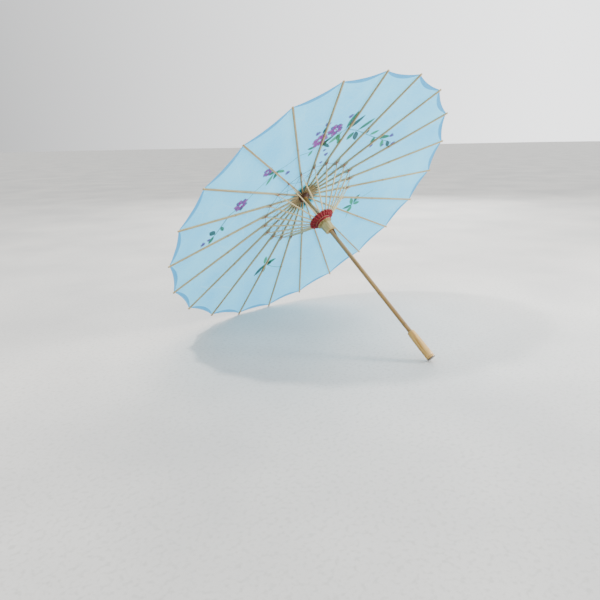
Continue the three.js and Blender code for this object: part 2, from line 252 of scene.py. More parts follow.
def teal_cloth():
    """A close-woven dyed cotton cap: matt, with its threads just raised."""
    made = blank_material("close_woven_cotton_dyed_teal")
    tree = made.node_tree
    warp, weft = streaks(tree, 12, 0.5), streaks(tree, 12, 0.5, along="Y")
    weave = node(tree, "ShaderNodeMath", {0: warp, 1: weft}, operation="ADD")
    colour = tone(tree, spread(tree, weave, 0.7, 1.3), srgb("#0A5C6B"), srgb("#23899A"))
    return coat(made, colour, 0.8, weave, 0.08, Sheen_Weight=0.25)


def split_bamboo():
    """Scraped split bamboo: straight fibres, the outer skin smoother and yellower than the sawn sides, and the sides
    and underside also drawn darker as painted shade.
    """
    made = blank_material("split_bamboo_scraped")
    tree = made.node_tree
    fibre = streaks(tree, 60, 0.45)
    patches = streaks(tree, 70, 9, detail=1.0)
    at = laid(tree)
    # Painted shade on top of the skin's own colour: the sides and underside are drawn darker than the top.
    sides = tone(tree, spread(tree, fibre, 0.35, 0.65), srgb("#7E6A43"), srgb("#B7A377"))
    skin = tone(tree, spread(tree, fibre, 0.35, 0.65), srgb("#9C8450"), srgb("#CDB783"))
    colour = tone(tree, spread(tree, at.outputs["Z"], 1.2, 1.9), sides, skin)
    colour = tone(tree, spread(tree, patches, 0.55, 0.75, 0.0, 0.35), colour, srgb("#8F7448"))
    from_node = node(tree, "ShaderNodeMath", {0: at.outputs["X"], 1: RIB_NODE}, operation="SUBTRACT")
    from_node = node(tree, "ShaderNodeMath", {0: from_node}, operation="ABSOLUTE")
    colour = tone(tree, spread(tree, from_node, 0.4, 2.2, 0.6, 0.0), colour, srgb("#5F4424"))
    roughness = spread(tree, fibre, 0.3, 0.7, 0.42, 0.62)
    return coat(made, colour, roughness, fibre, 0.06)


def thin_bamboo():
    """Thin pale split bamboo: fine straight fibres, hardly any skin left."""
    made = blank_material("thin_split_bamboo_pale")
    tree = made.node_tree
    fibre = streaks(tree, 40, 0.35)
    colour = tone(tree, spread(tree, fibre, 0.35, 0.65), srgb("#A18A5A"), srgb("#D6C698"))
    return coat(made, colour, spread(tree, fibre, 0.3, 0.7, 0.5, 0.68), fibre, 0.05)


def varnished_cane():
    """A whole bamboo cane under thin varnish: glossy skin with long streaks, darker at its nodes."""
    made = blank_material("bamboo_cane_thin_varnish")
    tree = made.node_tree
    fibre = streaks(tree, 90, 0.7, along="Z")
    patches = streaks(tree, 60, 5, along="Z", detail=1.5)
    colour = tone(tree, spread(tree, fibre, 0.35, 0.65), srgb("#70501F"), srgb("#A07C42"))
    colour = tone(tree, spread(tree, patches, 0.5, 0.72, 0.0, 0.6), colour, srgb("#7A582B"))
    height = laid(tree).outputs["Z"]
    for level in CANE_NODES:
        away = node(tree, "ShaderNodeMath", {0: height, 1: level}, operation="SUBTRACT")
        away = node(tree, "ShaderNodeMath", {0: away}, operation="ABSOLUTE")
        colour = tone(tree, spread(tree, away, 0.5, 2.5, 0.4, 0.0), colour, srgb("#5E4222"))
    roughness = spread(tree, patches, 0.3, 0.7, 0.26, 0.42)
    return coat(made, colour, roughness, fibre, 0.05, Coat_Weight=0.35, Coat_Roughness=0.2)


def lacquered_wood():
    """Turned light wood under clear lacquer: fine pores, soft figure, and a near-black band at the foot."""
    made = blank_material("turned_light_wood_clear_lacquer")
    tree = made.node_tree
    pores = streaks(tree, 14, 0.35, along="Z")
    figure = streaks(tree, 50, 4, along="Z", detail=1.5)
    colour = tone(tree, spread(tree, figure, 0.35, 0.65), srgb("#A87C33"), srgb("#CDA55A"))
    colour = tone(tree, spread(tree, pores, 0.55, 0.75, 0.0, 0.55), colour, srgb("#A87C3E"))
    height = laid(tree).outputs["Z"]
    # A near-black band over the last few millimetres at the foot.
    foot = spread(tree, height, HANDLE_END_Z + 1.8, HANDLE_END_Z + 3.4, 0.92, 0.0)
    colour = tone(tree, foot, colour, srgb("#2E1B0B"))
    # Painted shade: the groove above the foot is drawn darker.
    away = node(tree, "ShaderNodeMath", {0: height, 1: HANDLE_END_Z + HANDLE_GROOVE}, operation="SUBTRACT")
    away = node(tree, "ShaderNodeMath", {0: away}, operation="ABSOLUTE")
    colour = tone(tree, spread(tree, away, 0.2, 0.9, 0.6, 0.0), colour, srgb("#8A5F2B"))
    return coat(made, colour, spread(tree, figure, 0.3, 0.7, 0.3, 0.42), pores, 0.04, Coat_Weight=0.3)


def cream_wood():
    """Turned and sawn light wood, left bare: matt, with short pores."""
    made = blank_material("turned_cream_wood_bare")
    tree = made.node_tree
    pores = streaks(tree, 9, 0.4, along="Z")
    figure = streaks(tree, 30, 5, along="Z", detail=1.5)
    colour = tone(tree, spread(tree, figure, 0.35, 0.65), srgb("#8C7A45"), srgb("#B3A26C"))
    colour = tone(tree, spread(tree, pores, 0.56, 0.75, 0.0, 0.5), colour, srgb("#A08E5C"))
    return coat(made, colour, 0.58, pores, 0.07)


def stained_wood(name="turned_hardwood_dark_stain"):
    """Hardwood under a dark red-brown stain, which gathers in the pores."""
    made = blank_material(name)
    tree = made.node_tree
    pores = streaks(tree, 12, 0.4, along="Z")
    colour = tone(tree, spread(tree, pores, 0.35, 0.7), srgb("#5E3722"), srgb("#35200F"))
    return coat(made, colour, spread(tree, pores, 0.3, 0.7, 0.36, 0.55), pores, 0.06, Coat_Weight=0.15)


def black_lacquer():
    """Gloss black lacquer over wood, brushed round, so it is only nearly even."""
    made = blank_material("gloss_black_lacquer")
    tree = made.node_tree
    brushing = streaks(tree, 4, 0.8, along="X", detail=1.0)
    colour = tone(tree, spread(tree, brushing, 0.3, 0.7), srgb("#15120F"), srgb("#27211C"))
    return coat(made, colour, spread(tree, brushing, 0.3, 0.7, 0.14, 0.26), brushing, 0.02, Coat_Weight=0.5)


def cotton_thread(name, dark, light, lay=1.1):
    """Twisted cotton: slanting strands with fuzz between them, matt."""
    made = blank_material(name)
    tree = made.node_tree
    place = node(tree, "ShaderNodeAttribute", attribute_name="grain")
    aslant = {"Vector": place.outputs["Vector"], "Rotation": (0.5, 0.6, 0.7), "Scale": (1 / lay,) * 3}
    aslant = node(tree, "ShaderNodeMapping", aslant)
    strands = node(tree, "ShaderNodeTexWave", {"Vector": aslant, "Scale": 1.0, "Distortion": 1.2})
    fuzz = streaks(tree, 2.5, 1.2)
    mixed = node(tree, "ShaderNodeMath", {0: strands, 1: fuzz}, operation="MULTIPLY")
    colour = tone(tree, spread(tree, mixed, 0.1, 0.5), srgb(dark), srgb(light))
    return coat(made, colour, 0.85, strands, 0.12, Sheen_Weight=0.08)


def drawn_brass():
    """Drawn brass wire, dulled by handling."""
    made = blank_material("drawn_brass_wire_dulled")
    tree = made.node_tree
    place = node(tree, "ShaderNodeTexCoord").outputs["Object"]
    dull = node(tree, "ShaderNodeTexNoise", {"Vector": place, "Scale": 1 / (3 * MM), "Detail": 2.0})
    colour = tone(tree, spread(tree, dull, 0.35, 0.65), srgb("#8E6B2E"), srgb("#C29D55"))
    return coat(made, colour, spread(tree, dull, 0.3, 0.7, 0.28, 0.5), dull, 0.03, Metallic=1.0)


def smooth_concrete():
    """A trowelled pale floor: faint clouds and fine specks."""
    made = blank_material("trowelled_pale_concrete")
    tree = made.node_tree
    place = node(tree, "ShaderNodeTexCoord").outputs["Object"]
    clouds = node(tree, "ShaderNodeTexNoise", {"Vector": place, "Scale": 2.2, "Detail": 5.0})
    specks = node(tree, "ShaderNodeTexNoise", {"Vector": place, "Scale": 130.0, "Detail": 2.0})
    colour = tone(tree, spread(tree, clouds, 0.35, 0.65), srgb("#B2B1AE"), srgb("#C3C1BC"))
    colour = tone(tree, spread(tree, specks, 0.5, 0.7, 0.0, 0.5), colour, srgb("#A09F9A"))
    return coat(made, colour, 0.75, specks, 0.3)


# ------------------------------------------------------------------ mesh helpers
def turned(profile, steps=64, closed=False):
    """A profile of (radius, height) pairs spun about the axis."""
    bm = bmesh.new()
    verts = [bm.verts.new((radius, 0, height)) for radius, height in profile]
    ends = verts[1:] + verts[:1] if closed else verts[1:]
    for first, second in zip(verts, ends):
        bm.edges.new((first, second))
    around = {"cent": (0, 0, 0), "axis": (0, 0, 1), "angle": 2 * math.pi, "steps": steps}
    bmesh.ops.spin(bm, geom=bm.verts[:] + bm.edges[:], use_merge=True, **around)
    bmesh.ops.remove_doubles(bm, verts=bm.verts, dist=0.001)
    bmesh.ops.recalc_face_normals(bm, faces=bm.faces)
    return bm


def block(size, centre):
    """A rectangular block."""
    bm = bmesh.new()
    bmesh.ops.create_cube(bm, size=1)
    bmesh.ops.scale(bm, vec=size, verts=bm.verts)
    bmesh.ops.translate(bm, vec=centre, verts=bm.verts)
    return bm


def soften(bm, offset, segments=2, sharper_than=30):
    """Rounds every edge sharper than an angle."""
    limit = math.radians(sharper_than)
    sharp = [e for e in bm.edges if len(e.link_faces) == 2 and e.calc_face_angle(0) > limit]
    ways = {"affect": "EDGES", "profile": 0.5, "material": -1, "clamp_overlap": True}
    bmesh.ops.bevel(bm, geom=sharp, offset=offset, segments=segments, **ways)
    return bm


def slice_at(bm, stations, axis=0):
    """Cuts right across at each station along an axis."""
    normal = Vector([float(i == axis) for i in range(3)])
    for station in stations:
        geom = bm.verts[:] + bm.edges[:] + bm.faces[:]
        bmesh.ops.bisect_plane(bm, geom=geom, dist=1e-4, plane_co=normal * station, plane_no=normal)


def all_round(bm):
    """Repeats what is at the first rib at every rib."""
    first = bm.verts[:] + bm.edges[:] + bm.faces[:]
    for i in range(1, RIB_COUNT):
        copied = bmesh.ops.duplicate(bm, geom=first)["geom"]
        verts = [item for item in copied if isinstance(item, bmesh.types.BMVert)]
        bmesh.ops.rotate(bm, verts=verts, cent=(0, 0, 0), matrix=Matrix.Rotation(i * PITCH, 3, "Z"))
    return bm


def cut(bm, cutter):
    """bm with cutter taken out of it."""
    made = []
    for each in (bm, cutter):
        mesh = bpy.data.meshes.new("blank")
        each.to_mesh(mesh)
        each.free()
        made.append(bpy.data.objects.new("blank", mesh))
        bpy.context.collection.objects.link(made[-1])
    saw = made[0].modifiers.new("saw", "BOOLEAN")
    saw.operation = "DIFFERENCE"
    saw.solver = "EXACT"
    saw.object = made[1]
    cut_mesh = bpy.data.meshes.new_from_object(made[0].evaluated_get(bpy.context.evaluated_depsgraph_get()))
    result = bmesh.new()
    result.from_mesh(cut_mesh)
    for each in made:
        bpy.data.meshes.remove(each.data)
    bpy.data.meshes.remove(cut_mesh)
    return result


def add_thread(bm, points, radius, sides=6, closed=False):
    """Adds a round thread through points. An open one gets end caps."""
    points = [Vector(point) for point in points]
    if closed:
        points.append(points[0])
    heading = (points[1] - points[0]).normalized()
    place = Matrix.Translation(points[0]) @ heading.to_track_quat("Z", "Y").to_matrix().to_4x4()
    first = bmesh.ops.create_circle(bm, cap_ends=False, radius=radius, segments=sides, matrix=place)["verts"]
    edges = list({e for v in first for e in v.link_edges})
    if not closed:
        bmesh.ops.edgeloop_fill(bm, edges=edges)
    for before, after, following in zip(points, points[1:], points[2:] + points[-1:]):
        ahead = ((after if closed else following) - before).normalized()
        swing = heading.rotation_difference(ahead).to_matrix().to_4x4()
        extruded = bmesh.ops.extrude_edge_only(bm, edges=edges)["geom"]
        verts = {item for item in extruded if isinstance(item, bmesh.types.BMVert)}
        edges = [e for e in extruded if isinstance(e, bmesh.types.BMEdge) and all(v in verts for v in e.verts)]
        carry = Matrix.Translation(after) @ swing @ Matrix.Translation(-before)
        bmesh.ops.transform(bm, matrix=carry, verts=list(verts))
        heading = ahead
    if closed:
        bmesh.ops.remove_doubles(bm, verts=bm.verts, dist=radius * 0.3)
    else:
        bmesh.ops.edgeloop_fill(bm, edges=edges)


def piece(name, bm, place, body, material, replaces=(), number=0, smooth=35, grain=None):
    """Makes the object: notes each point's own millimetres for the materials, then puts the mesh in place.

    laid is where a point lies in the piece, and grain the same, moved so that no two pieces look alike.
    """
    own = bm.verts.layers.float_vector.new("laid")
    shifted = bm.verts.layers.float_vector.new("grain")
    grain = grain or Matrix.Translation((number * 171.3, number * 37.9, number * 59.1))
    for vert in bm.verts:
        vert[own] = vert.co
        vert[shifted] = grain @ vert.co
    bmesh.ops.transform(bm, matrix=place, verts=bm.verts)
    mesh = bpy.data.meshes.new(name)
    bm.to_mesh(mesh)
    bm.free()
    mesh.materials.append(material)
    mesh.shade_smooth()
    mesh.set_sharp_from_angle(angle=math.radians(smooth))
    made = bpy.data.objects.new(name, mesh)
    bpy.context.collection.objects.link(made)
    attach(made, body)
    if replaces:
        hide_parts(*replaces)
    return made


def gather(made):
    """Gives a piece a mesh of its own."""
    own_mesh(made)


# ------------------------------------------------------------------ ribs and stretchers
def station_value(table, x):
    """Straight-line value at x in a table of (x, value) pairs."""
    for (x0, first), (x1, second) in zip(table, table[1:]):
        if x <= x1:
            return first + (second - first) * max(0.0, (x - x0) / (x1 - x0))
    return table[-1][1]


def rib_blank():
    """One rib along x from its hub pivot, with two cheeks under it for the stretcher."""
    joint = JOINT_ALONG_RIB
    slant = 0.85  # worn off under the tip
    start, tip_low = -RIB_HUB_HALF, RIB_HALF - 2 * RIB_TIP_HALF
    cheek = [
        (joint - 13, 0), (joint - 7, 2.3), (joint - 3, 3.2), (joint + 3, 3.2), (joint + 7, 2.3), (joint + 13, 0),
    ]
    width = [
        (start, 1.5), (9, 1.5), (45, 3), (90, 3.5), (RIB_NODE - 5, 3.8), (RIB_NODE - 1, 4.2),
        (RIB_NODE + 1, 4.2), (RIB_NODE + 5, 3.8), (RIB_LENGTH, 4),
    ]
    top = [(start, RIB_HUB_HALF), (9, RIB_HUB_HALF), (20, RIB_HALF), (RIB_LENGTH, RIB_HALF)]
    low = [
        (start, -RIB_HUB_HALF), (9, -RIB_HUB_HALF), (20, -RIB_HALF), (joint + 13, -RIB_HALF),
        (RIB_NODE - 5, -1.85), (RIB_NODE - 1, -2.15), (RIB_NODE + 1, -2.15), (RIB_NODE + 5, -1.8),
        (RIB_LENGTH - slant, tip_low), (RIB_LENGTH, tip_low + 1.36),
    ]
    bm = block((RIB_LENGTH + RIB_HUB_HALF, 1, 2), ((RIB_LENGTH - RIB_HUB_HALF) / 2, 0, 0))
    slice_at(bm, sorted({x for table in (cheek, width, low) for x, _ in table if start < x < RIB_LENGTH}))
    slice_at(bm, (-0.29, 0.29), axis=1)  # the slot between the cheeks, as a share of the width
    for vert in bm.verts:
        x = vert.co.x
        vert.co.y *= station_value(width, x)
        vert.co.z = station_value(top if vert.co.z > 0 else low, x)
    below = [(f, f.calc_center_median()) for f in bm.faces if f.normal.z < -0.5]
    under = [f for f, middle in below if abs(middle.y) > 0.8 and abs(middle.x - joint) < 13]
    grown = bmesh.ops.extrude_face_region(bm, geom=under)["geom"]
    for vert in (item for item in grown if isinstance(item, bmesh.types.BMVert)):
        vert.co.z -= station_value(cheek, vert.co.x)
    bmesh.ops.delete(bm, geom=under, context="FACES_ONLY")
    bmesh.ops.remove_doubles(bm, verts=bm.verts, dist=0.005)
    bmesh.ops.dissolve_degenerate(bm, dist=0.005, edges=bm.edges)
    bmesh.ops.recalc_face_normals(bm, faces=bm.faces)
    return soften(bm, 0.28, segments=2, sharper_than=40)


def stretcher_blank():
    """One stretcher along x from the runner pivot to the rib joint, thin at the joint."""
    length, half = STRETCHER_LENGTH, 1.4
    width = [(-half, 2), (8, 2), (13, 2.8), (length - 24, 2.8), (length - 18, 1.1), (length + half, 1.1)]
    bm = block((length + 2 * half, 1, 2 * half), (length / 2, 0, 0))
    slice_at(bm, [x for x, _ in width[1:-1]] + [40, 80])
    for vert in bm.verts:
        vert.co.y *= station_value(width, vert.co.x)
    ends = [e for e in bm.edges if all(v.co.x < 0 or v.co.x > length for v in e.verts)]
    across = [e for e in ends if abs(e.verts[0].co.y - e.verts[1].co.y) > 0.5]
    bmesh.ops.bevel(bm, geom=across, offset=1.2, segments=3, affect="EDGES", profile=0.5, material=-1)
    return soften(bm, 0.2, segments=1, sharper_than=50)


def make_ribs(bamboo, pale):
    """Every rib and stretcher on its own hinge."""
    rib, stretcher = rib_blank(), stretcher_blank()
    for i, number in enumerate(NUMBERS):
        body, place = f"rib_{number}", SECTORS[i] @ ON_RIB
        piece(f"split_rib_{number}", rib.copy(), place, body, bamboo, [body], number=i)
        body, place = f"stretcher_{number}", SECTORS[i] @ ON_STRETCHER
        name = f"split_stretcher_{number}"
        piece(name, stretcher.copy(), place, body, pale, [body], number=i)


# ------------------------------------------------------------------ threads
def knot_blank():
    """The tie at a rib's joint: thread through the cheeks, wound round them and knotted on both sides."""
    bm = bmesh.new()
    pin = Vector((JOINT_ALONG_RIB, 0, -JOINT_BELOW_RIB))
    add_thread(bm, [pin + Vector((0, y, 0)) for y in (-2.1, 0, 2.1)], 0.6)
    for side in (-1, 1):
        ball = bmesh.ops.create_icosphere(bm, subdivisions=2, radius=1.05)["verts"]
        bmesh.ops.scale(bm, vec=(1.2, 0.5, 1), verts=ball)
        bmesh.ops.translate(bm, vec=pin + Vector((0, side * 1.85, 0)), verts=ball)
    for shift in (-1.9, -0.95, 0, 0.95, 1.9):
        turn = [math.tau * k / 12 for k in range(12)]
        ring = [Vector((pin.x + shift, 1.95 * math.cos(a), -2.9 + 3.0 * math.sin(a))) for a in turn]
        add_thread(bm, ring, 0.45, sides=5, closed=True)
    bmesh.ops.recalc_face_normals(bm, faces=bm.faces)
    return bm


def web_blank():
    """Thread from a joint half way to its neighbours, and the inner threads that cross between them."""
    bm = bmesh.new()
    on_rib = Vector((WEB_RADIUS, 0, -(WEB_RADIUS - HUB_PIVOT_RADIUS) * math.tan(RIB_SLOPE) - RIB_HALF - 0.3))
    for side in (-1, 1):
        to_next = Matrix.Rotation(side * PITCH, 4, "Z")
        half_way = (JOINT + to_next @ JOINT) / 2
        share = JOINT.x / (JOINT.x + on_rib.x)
        crossing = JOINT.lerp(to_next @ on_rib, share)
        slack = Vector((0, 0, -0.8))
        add_thread(bm, [JOINT, JOINT.lerp(half_way, 0.5) + slack * 0.8, half_way + slack], 0.42, sides=5)
        add_thread(bm, [JOINT, JOINT.lerp(crossing, 0.5), crossing], 0.32, sides=5)
        add_thread(bm, [on_rib, on_rib.lerp(crossing, 0.5), crossing], 0.32, sides=5)
    loop = [math.tau * k / 10 for k in range(10)]
    middle = on_rib + Vector((0, 0, RIB_HALF + 0.3))
    ring = [middle + Vector((0, 1.9 * math.cos(a), 2.65 * math.sin(a))) for a in loop]
    add_thread(bm, ring, 0.35, sides=5, closed=True)
    bmesh.ops.recalc_face_normals(bm, faces=bm.faces)
    return bm


def lacing_blank():
    """The twined band at one stretcher: in each row one thread passes over it and one under it."""
    bm = bmesh.new()
    chance = random.Random(3)
    for row in range(2 * LACING_ROWS):
        along = LACING_START + row // 2 * LACING_STEP
        radius = RUNNER_PIVOT_RADIUS + along * math.cos(STRETCHER_SLOPE)
        height = RUNNER_Z + along * math.sin(STRETCHER_SLOPE)
        side = chance.uniform(0.85, 1.35) * (1 if row % 2 else -1)
        points = []
        for k in range(9):
            turn = (k / 8 - 0.5) * PITCH
            away = side * 2.3 * math.cos(math.pi * turn / PITCH) ** 0.8 if 0 < k < 8 else 0
            reach = radius - away * math.sin(STRETCHER_SLOPE)
            lift = height + away * math.cos(STRETCHER_SLOPE)
            points.append(Vector((reach * math.cos(turn), reach * math.sin(turn), lift)))
        add_thread(bm, points, chance.uniform(0.6, 0.8), sides=6)
    bmesh.ops.recalc_face_normals(bm, faces=bm.faces)
    return bm


def rim_wrap():
    """Turns of the same thread round the runner's rim, under the stretchers."""
    bm = bmesh.new()
    for k in range(5):
        height, radius = RUNNER_Z - 0.1 - 1.1 * k, 20.05 if k < 4 else 19.8
        turn = [math.tau * step / 66 for step in range(66)]
        add_thread(bm, [(radius * math.cos(a), radius * math.sin(a), height) for a in turn], 0.6, closed=True)
    bmesh.ops.recalc_face_normals(bm, faces=bm.faces)
    return bm


def make_threads(knot_thread, web_thread, red_thread):
    """Knots and web ride on the ribs, the red band on the stretchers and its last turns on the runner."""
    knot, web, lacing = knot_blank(), web_blank(), lacing_blank()
    for i, number in enumerate(NUMBERS):
        body = f"rib_{number}"
        name, place = f"joint_knot_{number}", SECTORS[i] @ ON_RIB
        tied = piece(name, knot.copy(), place, body, knot_thread, number=i)
        if i == 0:
            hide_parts("joint_thread")
        name, place = f"thread_web_{number}", SECTORS[i]
        spun = piece(name, web.copy(), place, body, web_thread, number=i)
        gather(spun)
        name, body = f"red_lacing_{number}", f"stretcher_{number}"
        band = piece(name, lacing.copy(), place, body, red_thread, number=i)
        if i == 0:
            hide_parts("red_lacing")
        gather(band)
    piece("red_rim_wrap", rim_wrap(), AXIS, "runner", red_thread)


# ------------------------------------------------------------------ painted sprays
PETAL, LEAF, LINE = 0.5, 1.0, 0.0  # how an outline's sides close in towards its ends
PLUM, ORCHID, LILAC = srgb("#380560"), srgb("#6E1275"), srgb("#472A85")
DEEP_GREEN, GREEN, PALE_GREEN = srgb("#022D16"), srgb("#065A29"), srgb("#1E7F4D")
TWIG, CENTRE = srgb("#0E3A2E"), srgb("#7A1440")


def spot(azimuth, radius):
    """A point of the spread canopy: degrees round from the first rib, millimetres from the axis."""
    return Vector((math.cos(math.radians(azimuth)), math.sin(math.radians(azimuth)))) * radius


def stroke(start, end, width, outline, colour, strength=0.9):
    """One stroke of the brush, from start to end."""
    shape = {"start": start, "end": end, "width": width, "outline": outline}
    return {**shape, "colour": colour, "strength": strength}


def blossom(chance, azimuth, radius, size, colour):
    """Five notched petals round a dark eye, each of two strokes."""
    middle, strokes = spot(azimuth, radius), []
    first = chance.uniform(0, math.tau)
    for k in range(5):
        for lean in (-0.24, 0.24):
            way = first + k * math.tau / 5 + lean + chance.uniform(-0.06, 0.06)
            out = Vector((math.cos(way), math.sin(way)))
            reach = size * chance.uniform(0.88, 1.08)
            shade = colour if lean < 0 else ORCHID
            start, end = middle + out * size * 0.2, middle + out * reach
            strokes.append(stroke(start, end, size * 0.27, PETAL, shade, 0.97))
    for k in range(3):
        dot = middle + Vector((chance.uniform(-1, 1), chance.uniform(-1, 1))) * size * 0.12
        strokes.append(stroke(dot, dot + Vector((size * 0.16, 0)), size * 0.09, PETAL, CENTRE))
    return strokes


def bud(azimuth, radius, size, lean, colour=LILAC):
    """A closed bud of three petals."""
    foot = spot(azimuth, radius)
    strokes = []
    for turn in (-0.55, 0, 0.55):
        way = Vector((math.cos(lean + turn), math.sin(lean + turn)))
        strokes.append(stroke(foot, foot + way * size, size * 0.24, PETAL, colour if turn else PLUM, 0.92))
    return strokes


def leaf(start, end, width, colour):
    """A pointed leaf with a darker vein."""
    start, end = spot(*start), spot(*end)
    return [
        stroke(start, end, width * 1.35, LEAF, colour, 0.97),
        stroke(start, start.lerp(end, 0.8), 0.8, LINE, DEEP_GREEN, 0.7),
    ]


def twig(*route, width=0.8, colour=TWIG):
    """A thin line through places given as (azimuth, radius)."""
    points = [spot(*at) for at in route]
    return [stroke(a, b, width, LINE, colour, 0.95) for a, b in zip(points, points[1:])]


def painted_sprays():
    """Blossom and leaf of no real plant: one main spray, two that trail from it, and two loose sprigs."""
    chance = random.Random(7)
    strokes = twig(
        (140, 205), (147, 222), (155, 234), (163, 240), (171, 236), (180, 228), (191, 228), (202, 239), (210, 254),
    )
    strokes += twig((141, 204), (133, 210), (124, 212), (114, 218), (106, 222), (97, 227), (91, 236))
    strokes += twig((88, 246), (83, 262), (77, 274), (72, 286), (69, 300), width=1.3, colour=DEEP_GREEN)
    strokes += twig((0, 225), (352, 236), (343, 251), width=0.7, colour=GREEN)
    strokes += twig((254, 230), (262, 206), (270, 188), (283, 210), width=0.7, colour=GREEN)
    leaves = [
        ((162, 243), (163, 298), 6.5, GREEN), ((164, 240), (169, 284), 4.5, DEEP_GREEN),
        ((172, 236), (178, 276), 5, GREEN), ((171, 233), (178, 204), 5.5, DEEP_GREEN),
        ((170, 231), (169, 204), 5, GREEN), ((160, 236), (153, 204), 5, PALE_GREEN),
        ((157, 232), (162, 205), 4.5, GREEN), ((151, 224), (149, 200), 4, GREEN),
        ((155, 232), (147, 208), 3.5, DEEP_GREEN), ((160, 216), (165, 190), 4, PALE_GREEN),
        ((148, 216), (156, 190), 3.5, DEEP_GREEN), ((141, 206), (138, 190), 3.5, PALE_GREEN),
        ((146, 252), (148, 274), 4, DEEP_GREEN), ((143, 214), (137, 222), 3.5, GREEN),
        ((186, 229), (190, 250), 4, PALE_GREEN), ((192, 230), (198, 212), 4.5, GREEN),
        ((196, 233), (203, 258), 4.5, GREEN), ((201, 238), (208, 226), 4, PALE_GREEN),
        ((205, 246), (213, 244), 4, DEEP_GREEN),
        ((183, 229), (181, 243), 3, DEEP_GREEN),
        ((117, 216), (110, 200), 4.5, GREEN), ((116, 216), (119, 192), 4, PALE_GREEN),
        ((114, 220), (111, 240), 4, GREEN), ((113, 220), (104, 206), 3.5, PALE_GREEN),
        ((90, 240), (84, 232), 4, GREEN),
        ((76, 277), (72, 264), 3.5, GREEN), ((72, 288), (75, 308), 5.5, DEEP_GREEN),
        ((71, 291), (66, 300), 4.5, GREEN), ((1, 228), (5, 266), 5.5, DEEP_GREEN),
        ((1, 226), (358, 254), 4.5, GREEN), ((1, 224), (5, 196), 4.5, PALE_GREEN),
        ((0, 224), (352, 206), 4, GREEN), ((359, 228), (355, 216), 4, DEEP_GREEN),
        ((270, 188), (263, 170), 4.5, PALE_GREEN), ((270, 189), (277, 170), 4.5, GREEN),
        ((268, 190), (258, 192), 4, GREEN), ((271, 190), (279, 200), 4.5, PALE_GREEN),
        ((269, 192), (266, 210), 4, PALE_GREEN),
    ]
    for start, end, width, colour in leaves:
        strokes += leaf(start, end, width, colour)
    blossoms = [(154, 251, 21, PLUM), (145, 230, 22, ORCHID), (89, 245, 20, PLUM), (112, 246, 14, LILAC)]
    for azimuth, radius, size, colour in blossoms:
        strokes += blossom(chance, azimuth, radius, size, colour)
    buds = [
        (147, 274, 13, 2.9), (142, 257, 13, 3.0), (160, 279, 13, 2.6), (158, 168, 12, 0.4), (157, 138, 9, 0.2),
        (122, 174, 13, 1.0), (68, 312, 13, 1.4), (70, 300, 9, 0.6), (199, 214, 12, 0.6), (203, 256, 12, 3.6),
        (212, 252, 13, 4.0), (206, 230, 8, 4.6), (152, 186, 8, 5.2), (163, 262, 7, 3.9),
    ]
    for azimuth, radius, size, lean in buds:
        strokes += bud(azimuth, radius, size, lean)
    return strokes


def away_from(mark, at):
    """How far along the stroke a point is, -1 to 1, and how far off it."""
    half = (mark["end"] - mark["start"]) / 2
    out = at - mark["start"] - half
    reach = half.length
    way = half / reach
    return out.dot(way) / reach, abs(out.x * way.y - out.y * way.x)


def is_near(mark, at, margin):
    """Whether a stroke may reach a point."""
    middle = (mark["start"] + mark["end"]) / 2
    return (at - middle).length < (mark["end"] - mark["start"]).length / 2 + mark["width"] + margin


def painted(strokes, at):
    """The paint at a point, as a colour and how much it covers: thinner in the middle of a stroke."""
    colour, cover = [0.0, 0.0, 0.0], 0.0
    for mark in strokes:
        if not is_near(mark, at, 1.0):
            continue
        along, off = away_from(mark, at)
        if abs(along) >= 1:
            continue
        side = mark["width"] * (1 - along * along) ** mark["outline"]
        inside = min(1.0, max(0.0, (side - off) / 0.9 + 0.5))
        if inside == 0:
            continue
        streak = noise.noise(Vector((at.x / 2.2, at.y / 2.2, 3.0)))
        wash = 0.86 + 0.14 * min(1.0, off / max(side, 0.1)) + 0.12 * streak
        laid_on = inside * mark["strength"] * min(1.0, wash)
        for k in range(3):
            colour[k] += (mark["colour"][k] - colour[k]) * (laid_on if cover else 1.0)
        cover += laid_on * (1 - cover)
    return (*colour, cover)


# ------------------------------------------------------------------ canopy and crown cap
def rib_crest(radius):
    """Height of the ribs' top edges at a radius."""
    return RIB_HALF / math.cos(RIB_SLOPE) - (radius - HUB_PIVOT_RADIUS) * math.tan(RIB_SLOPE)


def off_axis(along, turn):
    """A point of a flat gore: along is its radius on the rib, turn its angle from the rib."""
    radius = along * math.cos(PITCH / 2) / math.cos(PITCH / 2 - abs(turn))
    return Vector((radius * math.cos(turn), radius * math.sin(turn)))


# The hem's steps from the rim, each with its drop. A step in is a share of the hem's width, one out is in millimetres.
FOLD = ((0, 0), (0.25, -0.18), (0, -0.36), (-0.5, -0.4), (-1, -0.4))


def cloth_point(share, across, fold, turn_of_strip):
    """Where a point of a strip lies, and how far past the hem's edge.

    share runs from the crown to the rim, across from the middle of one gore to the next with 0 on the rib.
    """
    middle = 1 - (1 - abs(across)) ** 2  # as across, but rounded
    rim = CLOTH_EDGE - SCALLOP * middle
    turned_over = HEM[0] + HEM[1] * middle
    along = CLOTH_INNER + share * (rim - CLOTH_INNER)
    inside_hem = turned_over if fold else along - rim + turned_over
    inward, drop = FOLD[fold]
    along += inward * turned_over if inward < 0 else inward
    flat = off_axis(along, across * PITCH / 2)
    seen = flat.copy()
    seen.rotate(Matrix.Rotation(turn_of_strip, 2))
    ripple = 0.7 * noise.noise(Vector((seen.x / 38, seen.y / 38, 1.0)))
    sag = middle * (2.4 * math.sin(math.pi * min(1.0, share) ** 0.9) + ripple)
    return Vector((flat.x, flat.y, rib_crest(along) + CLOTH_LIFT - sag + drop)), inside_hem


